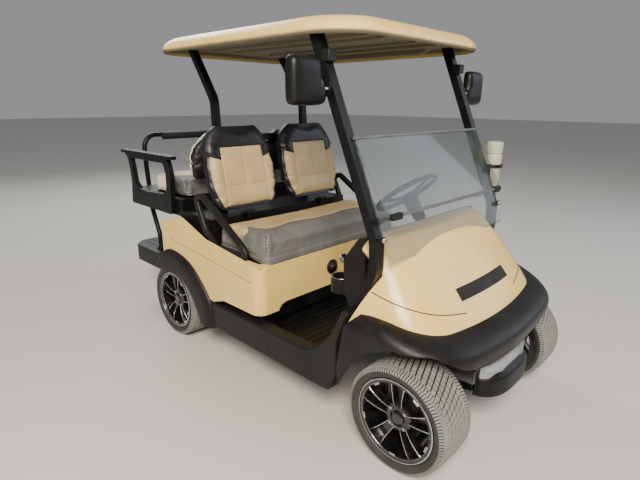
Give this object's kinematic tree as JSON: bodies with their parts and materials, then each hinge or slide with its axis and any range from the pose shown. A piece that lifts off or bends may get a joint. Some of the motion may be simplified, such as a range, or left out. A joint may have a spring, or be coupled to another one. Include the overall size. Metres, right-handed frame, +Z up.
{
  "type": "four-seat golf cart",
  "caption": "Small electric cart with a roof, folding windscreen, bench seat, rear-facing back seat and fold-down foot plate; it steers, rolls and its seat lifts",
  "frame": {"origin": "on the ground at the middle of the cart's overall length and width", "axes": "+Z up, the front of the cart towards -Y, the cart's left side towards +X"},
  "size_m": [1.454, 2.729, 1.755],
  "materials": {
    "tyre": "low tyre with a close lattice tread",
    "alloy": "cast alloy, black with machined faces",
    "black_steel": "black powder coat",
    "cast": "dark cast iron",
    "bright_steel": "plated steel",
    "frame_metal": "mill-finish aluminium, dulled by the road",
    "black_plastic": "black moulded plastic",
    "grained_plastic": "grained black moulding",
    "body_plastic": "beige painted body, glossy",
    "grey_plastic": "dark grey moulding",
    "battery_case": "battery cases, black",
    "lens": "clear lens over a bright reflector",
    "grip_rubber": "moulded grip",
    "clear_sheet": "clear acrylic sheet, faintly green",
    "vinyl": "stitched vinyl, charcoal and tan",
    "pale_vinyl": "pale beige vinyl",
    "tread_plate": "raised tread plate",
    "bottle_plastic": "beige moulded bottle"
  },
  "bodies": {
    "chassis": {"front_axle": "black_steel", "rear_axle": "cast", "motor": "black_steel", "springs": "black_steel", "frame": "frame_metal", "floor_pan": "black_plastic", "sills": "black_plastic", "rear_body": "body_plastic", "rear_fenders": "grained_plastic", "seat_deck": "black_plastic", "battery_pack": "battery_case", "front_cowl": "body_plastic", "front_fender": "grained_plastic", "front_bumper": "black_plastic", "lamps": "lens", "dash": "black_plastic", "steering_column": "black_steel", "pedals": "black_steel", "roof_posts": "black_steel", "roof": "body_plastic", "windscreen": "clear_sheet", "mirrors": "grey_plastic", "front_seat_backs": "vinyl", "rear_seat_backs": "vinyl", "arm_rails": "black_steel", "rear_seat_base": "black_plastic", "rear_cushion": "pale_vinyl", "rear_armrests": "black_steel", "foot_plate": "tread_plate", "grab_bar": "black_steel", "sand_bottle": "bottle_plastic"},
    "steer_knuckle_left": {"knuckle_left": "cast"},
    "steer_knuckle_right": {"knuckle_right": "cast"},
    "tie_bar": {"tie_rod": "bright_steel"},
    "hand_wheel": {"steering_wheel": "grip_rubber"},
    "wheel_front_left": {"tyre_front_left": "tyre", "rim_front_left": "alloy"},
    "wheel_front_right": {"tyre_front_right": "tyre", "rim_front_right": "alloy"},
    "wheel_rear_left": {"tyre_rear_left": "tyre", "rim_rear_left": "alloy"},
    "wheel_rear_right": {"tyre_rear_right": "tyre", "rim_rear_right": "alloy"},
    "seat_lid": {"front_cushion": "vinyl", "seat_pan": "black_plastic"}
  },
  "joints": [
    {"name": "steer_left", "type": "hinge", "parent": "chassis", "child": "steer_knuckle_left", "pos_m": [0.395, -1.125, 0.2275], "axis": [0, 0, 1], "range_deg": [-28, 28]},
    {"name": "steer_right", "type": "hinge", "parent": "chassis", "child": "steer_knuckle_right", "pos_m": [-0.395, -1.125, 0.2275], "axis": [0, 0, 1], "range_deg": [-28, 28]},
    {"name": "steering_wheel_turn", "type": "hinge", "parent": "chassis", "child": "hand_wheel", "pos_m": [0.25, -0.572, 0.945], "axis": [0, 0.6157, 0.788], "range_deg": [-504, 504]},
    {"name": "tie_rod_slide", "type": "slide", "parent": "chassis", "child": "tie_bar", "axis": [1, 0, 0], "range_m": [-0.052, 0.052]},
    {"name": "roll_front_left", "type": "hinge", "parent": "steer_knuckle_left", "child": "wheel_front_left", "pos_m": [0.4825, -1.125, 0.2275], "axis": [1, 0, 0], "continuous": true},
    {"name": "roll_front_right", "type": "hinge", "parent": "steer_knuckle_right", "child": "wheel_front_right", "pos_m": [-0.4825, -1.125, 0.2275], "axis": [1, 0, 0], "continuous": true},
    {"name": "roll_rear_left", "type": "hinge", "parent": "chassis", "child": "wheel_rear_left", "pos_m": [0.4825, 0.539, 0.2275], "axis": [1, 0, 0], "continuous": true},
    {"name": "roll_rear_right", "type": "hinge", "parent": "chassis", "child": "wheel_rear_right", "pos_m": [-0.4825, 0.539, 0.2275], "axis": [1, 0, 0], "continuous": true},
    {"name": "seat_lift", "type": "hinge", "parent": "chassis", "child": "seat_lid", "pos_m": [0, 0.119, 0.81], "axis": [-1, 0, 0], "range_deg": [0, 60]}
  ],
  "couplings": [
    {"joint": "steer_right", "follows": "steer_left", "ratio": 1},
    {"joint": "steering_wheel_turn", "follows": "steer_left", "ratio": 18},
    {"joint": "tie_rod_slide", "follows": "steer_left", "m_per_rad": -0.1056}
  ]
}
